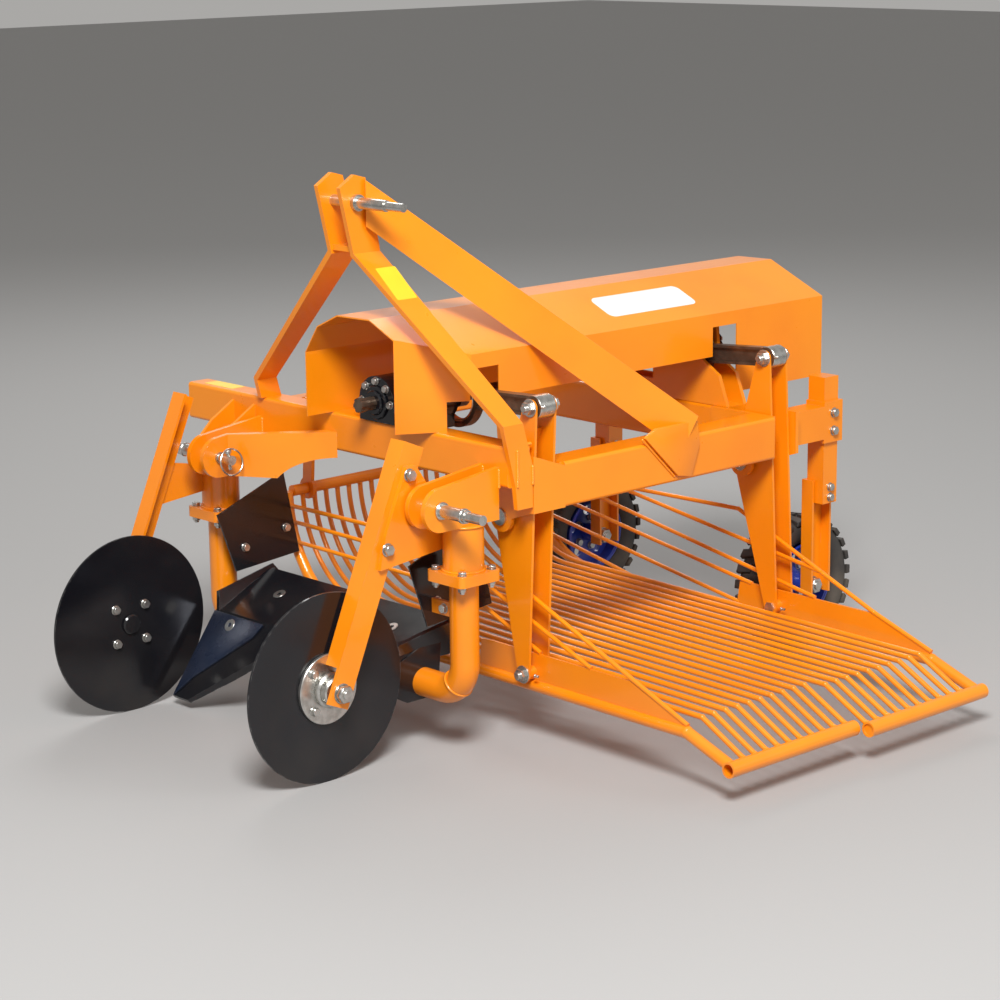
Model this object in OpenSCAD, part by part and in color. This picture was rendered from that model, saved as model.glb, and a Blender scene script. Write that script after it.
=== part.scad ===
// Side-discharge vibrating potato digger for a three-point hitch.
// X runs to the discharge side, Y runs to the rear, Z is up, and the ground is Z = 0.
// The sizes below count from the middle of the two lower hitch pins: X = 0 half way
// between them, Y = 0 at the pins. place() then moves all of it to the middle of the machine.

/* [Hitch] */
// Height of the lower hitch pins above the ground
hitch_z = 572; // [540:1:600]
// Distance over the outer faces of the two lower lugs
hitch_span = 825; // [800:1:850]
// Gap between the two plates of one lower lug
lug_gap = 38; // [30:1:44]
// Thickness of the hitch plates and of the mast bars
hitch_t = 12; // [8:1:14]
// Radius of the round end of a lower lug
lug_r = 47; // [42:1:50]
// Diameter of the thick part of a lower pin
lower_pin_d = 28; // [22:1:30]
// Diameter of the thin end of a lower pin
lower_pin_d2 = 22; // [16:1:24]
// Height of the top pin above the ground
top_pin_z = 1178; // [1150:1:1190]
// Distance of the top pin behind the lower pins
top_pin_y = 91; // [80:1:98]
// Diameter of the top pin
top_pin_d = 25; // [19:1:28]

/* [Frame] */
// Distance of the front beam behind the lower pins
beam_y = 164; // [155:1:175]
// Depth of the front beam, front to back
beam_depth = 65; // [55:1:75]
// Height of the front beam's top face
beam_top = 684; // [675:1:690]
// Height of the front beam from bottom to top
beam_h = 88; // [80:1:95]
// Far end of the front beam
beam_far_x = -686; // [-720:1:-640]
// Outer face of the near side frame
side_x = 451; // [448:1:456]
// Top of the side and rear beams
side_top = 632; // [624:1:640]
// Height of the side and rear beams
side_h = 100; // [90:1:104]
// Width of the side beams
side_w = 80; // [70:1:84]
// Outer face of the far side beam
far_side_x = -590; // [-600:1:-588]
// Thickness of the small frame plates
plate_t = 8; // [6:1:10]

/* [Rocker arms and drive] */
// Height of the fixed pivot of the rocker arms
pivot_z = 510; // [500:1:515]
// Sideways place of the fixed pivot
pivot_x = 346; // [342:1:348]
// How far the end pins stand outboard of the fixed pivot
arm_set = 66; // [62:1:67]
// From the fixed pivot up to the conrod pin
arm_up = 250; // [245:1:255]
// From the fixed pivot down to the sieve pin
arm_down = 346; // [340:1:350]
// Half swing of the arms in degrees
swing = 2.75; // [2.5:0.05:2.8]
// Middle of the front arm, front to back
arm_front_y = 276; // [274:1:280]
// Middle of the rear arm, front to back
arm_rear_y = 1050; // [1040:1:1056]
// Width over the two flanges of an arm
arm_w = 62; // [60:1:64]
// Thickness of an arm's flanges
arm_t = 6; // [5:0.5:8]
// Gap between an arm and the frame lugs beside it
arm_clear = 6; // [5:0.5:7]
// Thickness of the frame lugs that carry the arms
arm_lug_t = 10; // [8:1:12]
// Diameter of the arm pins
arm_pin_d = 20; // [16:1:22]
// Outer diameter of the conrod's bush
bush_d = 50; // [40:1:52]
// Sideways place of the eccentric shaft
shaft_x = 155; // [150:1:160]
// Height of the eccentric shaft
shaft_z = 744; // [740:1:748]
// Diameter of the eccentric shaft
shaft_d = 30; // [25:1:32]
// Diameter of the round eccentrics
eccentric_d = 44; // [42:1:50]
// Outer diameter of the conrod's ring
ring_d = 134; // [130:1:136]
// Wall of the conrod's ring
ring_wall = 10; // [8:1:11]
// Diameter of the power take-off stub
stub_d = 34.9; // [34:0.1:35]
// Sideways place of the power take-off stub
stub_x = 23; // [15:1:30]
// Height of the power take-off stub
stub_z = 728; // [724:1:734]
// Front tip of the power take-off stub
stub_tip_y = 104; // [95:1:115]

/* [Sieves] */
// Number of rods in each sieve
rods = 10; // [8:1:10]
// Spacing of the rods
rod_pitch = 36; // [34:0.5:36.5]
// Diameter of the rods
rod_d = 12; // [10:0.5:13]
// Radius of the round back of a sieve
sieve_r = 260; // [240:1:270]
// Height of the upper tube on the far side
sieve_top_z = 430; // [420:1:440]
// Upper tube of both sieves at rest
sieve_far_x = -456; // [-465:1:-445]
// Diameter of the upper tube
upper_tube_d = 27; // [25:0.5:30]
// Discharge tube of the front sieve at rest
chute_front_x = 985; // [960:1:1000]
// Discharge tube of the rear sieve at rest
chute_rear_x = 1015; // [990:1:1030]
// Height of the discharge tubes
chute_z = 80; // [70:1:90]
// Diameter of the discharge tubes
chute_d = 33.7; // [30:0.1:36]
// Length of the steeper end of the sieve floor
chute_run = 130; // [110:1:150]
// Height of the floor where the steeper end begins
kink_z = 150; // [140:1:160]
// Diameter of the tube along a sieve's outer side
side_tube_d = 26.9; // [25:0.1:30]
// How much lower the side tube runs than the rods
side_drop = 22; // [20:1:26]
// Diameter of the guard rods on a sieve's outer side
guard_d = 10; // [8:0.5:12]
// Height of the pivot of the far hangers
hanger_z = 640; // [620:1:650]

/* [Hood] */
// Front edge of the hood
hood_y0 = 92; // [85:1:100]
// Rear edge of the hood
hood_y1 = 1404; // [1390:1:1415]
// Near side of the hood
hood_x1 = 250; // [244:1:252]
// Far side of the hood
hood_x0 = -142; // [-150:1:-135]
// Height of the hood's ridge
hood_top = 927; // [915:1:940]
// Thickness of the hood's sheet
sheet_t = 3; // [2:0.5:4]

/* [Legs, share and discs] */
// Sideways place of the near leg
leg_near_x = 381; // [378:1:384]
// Sideways place of the far leg
leg_far_x = -470; // [-480:1:-460]
// Distance of the legs behind the lower pins
leg_y = 88; // [80:1:95]
// Outer diameter of the upper leg tube
leg_top_d = 89; // [84:1:92]
// Outer diameter of the lower leg tube and its elbow
leg_d = 63.5; // [60:0.5:68]
// Centre line radius of the elbow
elbow_r = 70; // [64:1:76]
// Height of the elbow's level part
elbow_z = 147; // [140:1:155]
// Thickness of the share
share_t = 10; // [8:1:12]
// Half width of the share
share_half = 316; // [300:1:325]
// Diameter of the disc coulters
disc_d = 410; // [390:1:420]
// Distance of the disc axles in front of the lower pins
disc_y = -214; // [-225:1:-205]
// Sideways place of the near disc
disc_near_x = 279; // [275:1:285]
// Sideways place of the far disc
disc_far_x = -426; // [-432:1:-420]
// Thickness of the discs
disc_t = 5; // [4:0.5:6]

/* [Wheels] */
// Outer diameter of the tyres
wheel_d = 334; // [320:1:340]
// Width of the tyres
tyre_w = 95; // [85:1:100]
// Distance of the wheel axles behind the lower pins
wheel_y = 1254; // [1250:1:1262]
// Sideways place of the near wheel
wheel_near_x = 297; // [290:1:300]
// Sideways place of the far wheel
wheel_far_x = -427; // [-435:1:-415]
// Diameter of the rims
rim_d = 190; // [170:1:210]

/* [Hidden] */

$fn = 36;
orange = "#f58a1c";
black = "#1c1c1f";
zinc = "#b9bcc0";
brown = "#4b4038";
blue = "#1f47b8";
rubber = "#26272a";

// Middle of the machine over everything, which becomes the origin
mid_x = (beam_far_x + chute_rear_x + chute_d / 2) / 2;
mid_y = (disc_y - disc_d / 2 + max(hood_y1, wheel_y + wheel_d / 2)) / 2;

lug_x = hitch_span / 2;
beam_bottom = beam_top - beam_h;
beam_rear = beam_y + beam_depth;
side_bottom = side_top - side_h;
side_in = side_x - side_w;

// The arms rest at opposite ends of their swing: the front one leans out at the top,
// the rear one in.
function turn(p, a) = [p[0] * cos(a) + p[1] * sin(a), p[1] * cos(a) - p[0] * sin(a)];
function arm_point(p, a) = [pivot_x, pivot_z] + turn(p, a);
arm_top = [arm_set, arm_up];
arm_foot = [arm_set, -arm_down];
throw = arm_up * sin(swing);
stroke = arm_down * sin(swing);
pin_fit = 0.05;
side_clear = 2;
arm_inner = arm_w - 2 * arm_t;
arm_end_r = 18;
// Each arm: middle in Y, angle at rest, and the way its sieve lies from it
FRONT = [arm_front_y, swing, 1];
REAR = [arm_rear_y, -swing, -1];
lug_front_y = arm_front_y - arm_w / 2 - arm_clear;
rear_beam_y = arm_rear_y - arm_w / 2 - arm_clear;
rear_beam_depth = arm_w + 2 * arm_clear;

module place() translate([-mid_x, -mid_y, 0]) children();

// Plate square to X from an outline in Y and Z, and square to Y from one in X and Z
module plate_x(x0, t) translate([x0, 0, 0]) rotate([90, 0, 90]) linear_extrude(t) children();
module plate_y(y0, t) translate([0, y0 + t, 0]) rotate([90, 0, 0]) linear_extrude(t) children();
// Round bar along X, Y or Z
module bar_x(x0, x1, y, z, d) translate([x0, y, z]) rotate([0, 90, 0]) cylinder(d = d, h = x1 - x0);
module bar_y(y0, y1, x, z, d) translate([x, y0, z]) rotate([-90, 0, 0]) cylinder(d = d, h = y1 - y0);
module bar_z(z0, z1, x, y, d) translate([x, y, z0]) cylinder(d = d, h = z1 - z0);
// Round bar between two points
module rod(a, b, d) {
    v = b - a;
    len = norm(v);
    translate(a) rotate([0, acos(v[2] / len), atan2(v[1], v[0])]) cylinder(d = d, h = len);
}
// Outline of a square tube with round corners
module tube_outline(w, h, r = 8) {
    translate([r, 0]) square([w - 2 * r, h]);
    translate([0, r]) square([w, h - 2 * r]);
    for (i = [r, w - r], j = [r, h - r]) translate([i, j]) circle(r = r);
}
// Hexagon head or nut with its washer, along +X from x0
module nut_x(x0, y, z, d, h) translate([x0, y, z]) rotate([0, 90, 0]) cylinder(d = d * 1.8, h = h, $fn = 6);
module nut_y(y0, x, z, d, h) translate([x, y0, z]) rotate([-90, 0, 0]) cylinder(d = d * 1.8, h = h, $fn = 6);

module front_beam() color(orange) place() {
    foot_in = side_x - hitch_t;
    translate([beam_far_x, 0, 0]) rotate([90, 0, 90])
        linear_extrude(foot_in - beam_far_x)
        translate([beam_y, beam_bottom]) tube_outline(beam_depth, beam_h);
}

// Side beam, and the plate that passes outboard of the front arm
module side_beam_near() color(orange) place() {
    y0 = lug_front_y + arm_w + 2 * arm_clear + arm_lug_t;
    gusset_h = 26;
    translate([side_in, rear_beam_y - arm_lug_t, side_bottom]) rotate([90, 0, 0])
        linear_extrude(rear_beam_y - arm_lug_t - y0) tube_outline(side_w, side_h);
    plate_x(side_x - plate_t, plate_t)
        polygon([[beam_rear, side_bottom], [y0, side_bottom], [y0, side_top - 8],
                 [beam_rear, side_top + gusset_h]]);
}

module side_beam_far() color(orange) place()
    translate([far_side_x, rear_beam_y, side_bottom]) rotate([90, 0, 0])
        linear_extrude(rear_beam_y - beam_rear) tube_outline(side_w, side_h);

rear_beam_x1 = 290;
module rear_beam() color(orange) place()
    translate([far_side_x, 0, 0]) rotate([90, 0, 90])
        linear_extrude(rear_beam_x1 - far_side_x)
        translate([rear_beam_y, side_bottom]) tube_outline(rear_beam_depth, side_h);

// Lower lugs: two plates with round front ends, welded to the front beam
module lug_plate_outline(pin_d) difference() {
    union() {
        translate([0, hitch_z]) circle(r = lug_r);
        polygon([[0, hitch_z - lug_r], [beam_y, hitch_z - lug_r], [beam_y, hitch_z + lug_r + 20],
                 [0, hitch_z + lug_r]]);
    }
    translate([0, hitch_z]) circle(d = pin_d + 2 * pin_fit);
}
module lug_near() color(orange) place() {
    plate_x(lug_x - hitch_t, hitch_t) lug_plate_outline(lower_pin_d - 0.8);
    plate_x(lug_x - 2 * hitch_t - lug_gap, hitch_t) lug_plate_outline(lower_pin_d - 0.8);
}
// On the far side the inner plate turns in to meet the beam, arched below
module lug_far() color(orange) place() {
    plate_x(-lug_x, hitch_t) lug_plate_outline(lower_pin_d - 1.6);
    xi = -lug_x + hitch_t + lug_gap;
    bend = 30;
    reach = 220;
    intersection() {
        plate_x(xi, reach + 2 * hitch_t) difference() {
            lug_plate_outline(lower_pin_d - 1.6);
            translate([beam_y + 10, hitch_z - 88]) circle(r = 96);
        }
        linear_extrude(beam_top)
            polygon([[xi, -lug_r], [xi + hitch_t, -lug_r], [xi + hitch_t, bend - 5],
                     [xi + hitch_t + reach + 5, beam_y], [xi + reach - 20, beam_y], [xi, bend]]);
    }
}
module lower_pin_near() color(zinc) place() {
    x0 = lug_x - 2 * hitch_t - lug_gap;
    bar_x(x0, lug_x, 0, hitch_z, lower_pin_d - 0.8);
    bar_x(lug_x, lug_x + 80, 0, hitch_z, lower_pin_d);
    bar_x(lug_x + 80, lug_x + 128, 0, hitch_z, lower_pin_d2);
}
module lower_pin_far() color(zinc) place() {
    x1 = -lug_x + 2 * hitch_t + lug_gap;
    bar_x(-lug_x - 90, -lug_x, 0, hitch_z, lower_pin_d + 0.5);
    bar_x(-lug_x, x1 + 6, 0, hitch_z, lower_pin_d - 1.6);
    bar_x(x1 + 6, x1 + 48, 0, hitch_z, lower_pin_d2);
}

// Mast: two flat bars, upright at the top and bent out to the frame
mast_x1 = 50;
mast_x0 = -38;
mast_bend_z = 1068;
foot_bend_z = 734;
foot_z = 548;
mast_far_foot_x = -400;
bend_drop = 6;
module mast_side(z_foot) polygon([
    [182, z_foot], [226, z_foot], [226, 640], [199, 735], [153, 1085], [118, 1230],
    [88, 1238], [46, 1212], [80, 1068], [145, 721], [176, 600]]);
module mast_near() color(orange) place() difference() {
    intersection() {
        plate_x(mast_x0, side_x - mast_x0) mast_side(foot_z);
        plate_y(0, beam_rear + 60)
            polygon([[mast_x1, 1300], [mast_x1, mast_bend_z], [side_x, foot_bend_z], [side_x, 500],
                     [side_x - hitch_t, 500], [side_x - hitch_t, foot_bend_z - bend_drop],
                     [mast_x1 - hitch_t, mast_bend_z - bend_drop], [mast_x1 - hitch_t, 1300]]);
    }
    bar_x(mast_x0, side_x, top_pin_y, top_pin_z, top_pin_d + 2 * pin_fit);
}
module mast_far() color(orange) place() difference() {
    intersection() {
        plate_x(mast_far_foot_x, mast_x1 - mast_far_foot_x) mast_side(foot_z);
        translate([mast_far_foot_x, 0, beam_top]) cube([mast_x1 - mast_far_foot_x, beam_rear, 700]);
        plate_y(0, beam_rear + 60)
            polygon([[mast_x0, 1300], [mast_x0, mast_bend_z], [mast_far_foot_x, foot_bend_z],
                     [mast_far_foot_x, 500], [mast_far_foot_x + hitch_t, 500],
                     [mast_far_foot_x + hitch_t, foot_bend_z - bend_drop],
                     [mast_x0 + hitch_t, mast_bend_z - bend_drop], [mast_x0 + hitch_t, 1300]]);
    }
    bar_x(mast_far_foot_x, side_x, top_pin_y, top_pin_z, top_pin_d + 2 * pin_fit);
}
// Brace from the top of the near mast bar back to the side beam, with the mast's spacer
brace_t = 10;
module mast_brace() color(orange) place() {
    x_foot = 461;
    y_foot = 700;
    top_y = 98;
    run = norm([x_foot - mast_x1, y_foot - top_y]);
    yaw = atan2(y_foot - top_y, x_foot - mast_x1);
    translate([mast_x1, top_y, 0]) rotate([0, 0, yaw])
        translate([0, brace_t, 0]) rotate([90, 0, 0]) linear_extrude(brace_t)
        polygon([[15, 1226], [15, 1125], [run - 60, side_top], [run, side_top], [run + 22, side_top + 46]]);
    translate([mast_x0 + hitch_t, 84, 1070])
        cube([mast_x1 - mast_x0 - 2 * hitch_t, 60, 12]);
}
module top_pin() color(zinc) place() {
    bar_x(mast_x0 - 20, 150, top_pin_y, top_pin_z, top_pin_d);
    bar_x(150, 206, top_pin_y, top_pin_z, 19);
    bar_x(mast_x1, mast_x1 + 10, top_pin_y, top_pin_z, 36);
    bar_x(mast_x0 - 8, mast_x0, top_pin_y, top_pin_z, 36);
}

// Sheet hood over the drive, open at the ends and below
module hood_outline(s) polygon([
    [hood_x0 + s, 600], [hood_x0 + s, 830], [hood_x0 + 44 + s * 0.8, 893 - s * 0.6],
    [hood_x0 + 115 + s * 0.2, hood_top - 2 - s], [82, hood_top - s],
    [hood_x1 - s, hood_bend_z - s * 0.8], [hood_x1 - s, 600]]);
// The near side flares out behind the open front
module hood_plan(s, e) polygon([
    [hood_x0 - 10 + s, hood_y0 - e], [hood_x1 - 88 - s * 1.2, hood_y0 - e],
    [hood_x1 - 82 - s * 1.2, hood_y0 + 12], [hood_x1 - s, 237], [hood_x1 - s, hood_y1 + e],
    [hood_x0 - 10 + s, hood_y1 + e]]);
hood_bend_z = 852;
hood_bottom = 655;
notch_w = 84;
notch_top = 820;
side_bottom_z = 750;
module hood() color(orange) place() difference() {
    intersection() {
        plate_y(hood_y0, hood_y1 - hood_y0) hood_outline(0);
        translate([0, 0, hood_bottom]) linear_extrude(400) hood_plan(0, 0);
    }
    intersection() {
        plate_y(hood_y0 - 20, hood_y1 - hood_y0 + 40) hood_outline(sheet_t);
        translate([0, 0, 500]) linear_extrude(600) hood_plan(sheet_t, 10);
    }
    translate([hood_x0 - 20, 0, 0]) cube([hood_x1 - hood_x0 + 40, beam_rear + 6, beam_top]);
    plate_x(hood_x1 - 60, 90)
        polygon([[190, 600], [190, side_bottom_z], [arm_front_y - notch_w / 2, side_bottom_z],
                 [arm_front_y - notch_w / 2, notch_top], [arm_front_y + notch_w / 2, notch_top],
                 [arm_front_y + notch_w / 2, side_bottom_z], [arm_rear_y - notch_w / 2, side_bottom_z],
                 [arm_rear_y - notch_w / 2, notch_top], [arm_rear_y + notch_w / 2, notch_top],
                 [arm_rear_y + notch_w / 2, 600]]);
}
// Plates on the rear beam that carry the hood and the rear end of the shaft
bulk_t = 10;
module hood_bulkhead() color(orange) place() {
    y0 = rear_beam_y + 2;
    for (y = [y0, rear_beam_y + rear_beam_depth - bulk_t - 2])
        plate_y(y, bulk_t) difference() {
            polygon([[hood_x0 + sheet_t + 1, side_top], [rear_beam_x1, side_top], [262, 705],
                     [205, 740], [195, 868], [82, hood_top - 2 * sheet_t - 1],
                     [hood_x0 + 120, hood_top - 2 * sheet_t - 1], [hood_x0 + 52, 880],
                     [hood_x0 + sheet_t + 1, 825]]);
            translate([shaft_x, shaft_z]) circle(d = shaft_d + 1);
            translate([hood_x0 + 40, side_top + 40]) square([150, 180]);
        }
}

// Closed gear housing on the front beam: a front part round the stub and a wider rear part
gearbox_y0 = 158;
gearbox_y1 = 244;
gearbox_step = 26;
stub_lobe_r = 58;
shaft_lobe_r = 44;
module gearbox() color(black) place() difference() {
    union() {
        translate([stub_x - stub_lobe_r, gearbox_y0, beam_top])
            cube([2 * stub_lobe_r, gearbox_y1 - gearbox_y0, 50]);
        translate([stub_x, gearbox_y0 + gearbox_step, beam_top])
            cube([shaft_x - stub_x + 30, gearbox_y1 - gearbox_y0 - gearbox_step, 56]);
        bar_y(gearbox_y0, gearbox_y1, stub_x, stub_z, 2 * stub_lobe_r + 2);
        bar_y(gearbox_y0 + gearbox_step, gearbox_y1, shaft_x, shaft_z, 2 * shaft_lobe_r);
    }
    translate([stub_x - 80, gearbox_y0 - 5, beam_top - 60])
        cube([shaft_x - stub_x + 160, gearbox_y1 - gearbox_y0 + 10, 60]);
    bar_y(gearbox_y0 - 1, gearbox_y0 + 46, stub_x, stub_z, stub_d + 1);
    bar_y(gearbox_y0 + 44, gearbox_y1 + 1, shaft_x, shaft_z, shaft_d + 1);
}
module stub_shaft() color(zinc) place() {
    bar_y(stub_tip_y, gearbox_y0, stub_x, stub_z, stub_d);
    bar_y(gearbox_y0, gearbox_y0 + 45, stub_x, stub_z, stub_d + 0.8);
}
module eccentric_shaft() color(brown) place() {
    y1 = rear_beam_y + rear_beam_depth + 12;
    bar_y(gearbox_y0 + 45, y1, shaft_x, shaft_z, shaft_d);
    for (a = [FRONT, REAR])
        bar_y(a[0] - 12, a[0] + 12, shaft_x + sign(a[1]) * throw, shaft_z, eccentric_d);
}

// Frame lugs with the fixed pivot pins of the arms
module arm_lug_outline() {
    translate([pivot_x, pivot_z]) circle(r = 34);
    polygon([[pivot_x - 34, pivot_z], [pivot_x - 34, side_bottom], [rear_beam_x1 - 40, side_bottom + 10],
             [rear_beam_x1 - 40, side_top], [side_x - plate_t, side_top],
             [side_x - plate_t, side_bottom], [pivot_x + 34, pivot_z]]);
}
module arm_lugs() color(orange) place()
    for (a = [FRONT, REAR], s = [-1, 1]) {
        y = s < 0 ? a[0] - arm_w / 2 - arm_clear - arm_lug_t : a[0] + arm_w / 2 + arm_clear;
        plate_y(y, arm_lug_t) difference() {
            arm_lug_outline();
            translate([pivot_x, pivot_z]) circle(d = arm_pin_d + 2 * pin_fit);
        }
    }

module arm_pivot_pins() color(zinc) place()
    for (a = [FRONT, REAR]) {
        y0 = a[0] - arm_w / 2 - arm_clear - arm_lug_t;
        y1 = a[0] + arm_w / 2 + arm_clear + arm_lug_t;
        head = 12;
        bar_y(y0, y1, pivot_x, pivot_z, arm_pin_d);
        nut_y(y1, pivot_x, pivot_z, 18, head);
        bar_y(y0 - 5, y0, pivot_x, pivot_z, 38);
    }

// Rocker arm: two flanges joined by webs round the pivot, and a fork at each end
module arm_flange() {
    for (p = [arm_top, arm_foot]) translate(p) circle(r = arm_end_r);
    circle(r = 34);
    polygon([[arm_set + arm_end_r, arm_up], [arm_set + arm_end_r, -arm_down],
             [arm_set - arm_end_r, -arm_down], [-22, -60], [-34, -8], [-33, 12],
             [arm_set - arm_end_r - 6, arm_up - 10], [arm_set - arm_end_r, arm_up]]);
}
module rocker_arm(a) color(orange) place()
    translate([pivot_x, a[0], pivot_z]) rotate([0, a[1], 0]) {
        difference() {
            union() {
                for (y = [-arm_w / 2, arm_w / 2 - arm_t]) plate_y(y, arm_t) arm_flange();
                plate_y(-arm_inner / 2, arm_inner)
                    polygon([[40, arm_up - 52], [48, arm_up - 54], [-12, 40], [-20, 40]]);
                plate_y(-arm_inner / 2, arm_inner)
                    polygon([[-24, -30], [-16, -30], [-6, -84], [-14, -84]]);
                bar_y(-arm_inner / 2, arm_inner / 2, 0, 0, 46);
            }
            bar_y(-arm_w, arm_w, 0, 0, arm_pin_d + 0.2);
            for (p = [arm_top, arm_foot]) bar_y(-arm_w, arm_w, p[0], p[1], arm_pin_d + 2 * pin_fit);
        }
    }
module arm_front() rocker_arm(FRONT);
module arm_rear() rocker_arm(REAR);
pin_head = 4;
module arm_pins(a) color(zinc) place()
    translate([pivot_x, a[0], pivot_z]) rotate([0, a[1], 0])
    for (p = [arm_top, arm_foot])
        for (s = [-1, 1]) {
            // A flat head where the first sieve rod passes close by
            head = p == arm_foot && s == a[2] ? pin_head : 14;
            bar_y(s < 0 ? -arm_w / 2 - head : -1, s < 0 ? 1 : arm_w / 2 + head, p[0], p[1], arm_pin_d);
            nut_y(s < 0 ? -arm_w / 2 - head : arm_w / 2, p[0], p[1], 16, head);
        }
module arm_front_pins() arm_pins(FRONT);
module arm_rear_pins() arm_pins(REAR);

// Conrod: a bush on the arm's pin, an I-shaped bar, and a ring round the eccentric
module conrod(a) color(brown) place() {
    p = arm_point(arm_top, a[1]);
    q = [shaft_x + sign(a[1]) * throw, shaft_z];
    len = norm(p - q);
    tilt = atan2(p[1] - q[1], p[0] - q[0]);
    translate([q[0], a[0], q[1]]) rotate([0, -tilt, 0]) difference() {
        union() {
            bar_y(-12, 12, 0, 0, ring_d);
            bar_y(-arm_inner / 2 + side_clear, arm_inner / 2 - side_clear, len, 0, bush_d);
            translate([ring_d / 2 - 6, -4, -22]) cube([len - ring_d / 2, 8, 44]);
            for (z = [-22, 16])
                translate([ring_d / 2 - 12, -12, z]) cube([len - ring_d / 2 - 8, 24, 6]);
        }
        bar_y(-20, 20, 0, 0, ring_d - 2 * ring_wall);
        bar_y(-arm_w, arm_w, len, 0, arm_pin_d + 0.2);
    }
}
module conrod_front() conrod(FRONT);
module conrod_rear() conrod(REAR);

// How much the weld where the pieces of a rod meet stands proud
weld = 0.4;
// One bent rod: a round back down from the far tube, a straight floor that runs on from it
// without a corner, and a steeper end from the height z_kink down to the discharge tube.
module bent_rod(y, r, z_kink, chute_x, d) {
    centre = [sieve_far_x + r, sieve_top_z];
    kink = [chute_x - chute_run, z_kink];
    v = kink - centre;
    tangent = atan2(v[1], v[0]) - acos(r / norm(v));
    start = centre + r * [cos(tangent), sin(tangent)];
    translate([centre[0], y, centre[1]]) rotate([90, 0, 0]) rotate([0, 0, 180])
        rotate_extrude(angle = tangent + 180) translate([r, 0]) circle(d = d);
    lap = 6 * (kink - start) / norm(kink - start);
    rod([start[0] - lap[0], y, start[1] - lap[1]], [kink[0], y, kink[1]], d + weld);
    translate([kink[0], y, kink[1]]) sphere(d = d + 4 * weld);
    rod([kink[0], y, kink[1]], [chute_x, y, chute_z], d);
}
// A sieve lies s = +1 behind or s = -1 in front of its arm, and begins beside the arm's pin
first_rod = arm_w / 2 + rod_d / 2 + 9;
rod_end = 12;
tube_wall = 4;
module sieve(a, chute_x) color(orange) place() {
    s = a[2];
    first = a[0] + s * first_rod;
    last = first + s * (rods - 1) * rod_pitch + s * rod_end;
    near = a[0] - s * chute_d / 2;
    hoop = a[0] + s * (side_tube_d / 2 + 0.3);
    difference() {
        union() {
            for (i = [0 : rods - 1]) bent_rod(first + s * i * rod_pitch, sieve_r, kink_z, chute_x, rod_d);
            bar_y(min(near, last), max(near, last), chute_x, chute_z, chute_d);
            bar_y(min(hoop, last), max(hoop, last), sieve_far_x, sieve_top_z, upper_tube_d);
        }
        bar_y(near - 30, near + 30, chute_x, chute_z, chute_d - 2 * tube_wall);
        bar_y(last - 4, last + 4, chute_x, chute_z, chute_d - 2 * tube_wall);
    }
}
module sieve_front() sieve(FRONT, chute_front_x);
module sieve_rear() sieve(REAR, chute_rear_x);

// Outer side of a sieve: a bent tube, a plate on it with the boss for the arm's lower pin,
// and guard rods that pass between the arm's flanges. Each guard is a row of X, Z points.
side_r = sieve_r + side_drop + 13;
side_z = kink_z - side_drop;
GUARDS_FRONT = [
    [[-446, 398], [225, 400], [858, 143]],
    [[-441, 360], [190, 352], [575, 206]],
    [[-425, 312], [180, 302], [420, 208]]];
GUARDS_REAR = [
    [[-127, 376], [298, 382], [716, 206], [884, 146]],
    [[-447, 425], [562, 272]],
    [[-446, 384], [541, 208]],
    [[-436, 331], [345, 205]],
    [[-408, 271], [305, 152]],
    [[-362, 213], [-6, 140]]];
module guard(points, y, d) for (i = [0 : len(points) - 2]) {
    p = points[i];
    q = points[i + 1];
    rod([p[0], y, p[1]], [q[0], y, q[1]], d);
    if (i > 0) translate([p[0], y, p[1]]) sphere(d = d + 2 * weld);
}
side_plate_t = 6;
foot_boss_d = 30;
// The plate runs from plate_x0 to the corner where the guard reaches it, then along the guard
module sieve_side(a, chute_x, guards, plate_x0, corner) color(orange) place() {
    p = arm_point(arm_foot, a[1]);
    tip = guards[0][len(guards[0]) - 1];
    plate_top = 212;
    y0 = a[0] - arm_w;
    y1 = a[0] + arm_w;
    difference() {
        union() {
            bent_rod(a[0], side_r, side_z, chute_x, side_tube_d);
            plate_y(a[0] - side_plate_t / 2, side_plate_t)
                polygon([[plate_x0, side_z + 2], [plate_x0 + 12, plate_top - 8],
                         [plate_x0 + 40, plate_top - 6], corner - [8, 2],
                         tip - [5, 1], [chute_x - chute_run - 4, side_z - 2],
                         [plate_x0, side_z - 2]]);
            for (i = [0 : len(guards) - 1]) guard(guards[i], a[0], guard_d + (i == 0 ? weld : 0));
            bar_y(a[0] - arm_inner / 2 + side_clear, a[0] + arm_inner / 2 - side_clear, p[0], p[1], foot_boss_d);
        }
        bar_y(y0, y1, p[0], p[1], arm_pin_d + 0.2);
        bar_y(y0, y1, chute_x, chute_z, chute_d + 0.2);
    }
}
module sieve_front_side() sieve_side(FRONT, chute_front_x, GUARDS_FRONT, 220, [700, 206]);
module sieve_rear_side() sieve_side(REAR, chute_rear_x, GUARDS_REAR, 296, [716, 206]);

// Far hangers: flat bars from the far side beam down to the upper tubes
hanger_w = 40;
hanger_t = 10;
hanger_play = 0.5;
function hanger_y(a) = a[0] + a[2] * (first_rod + rod_pitch / 2);
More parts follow.
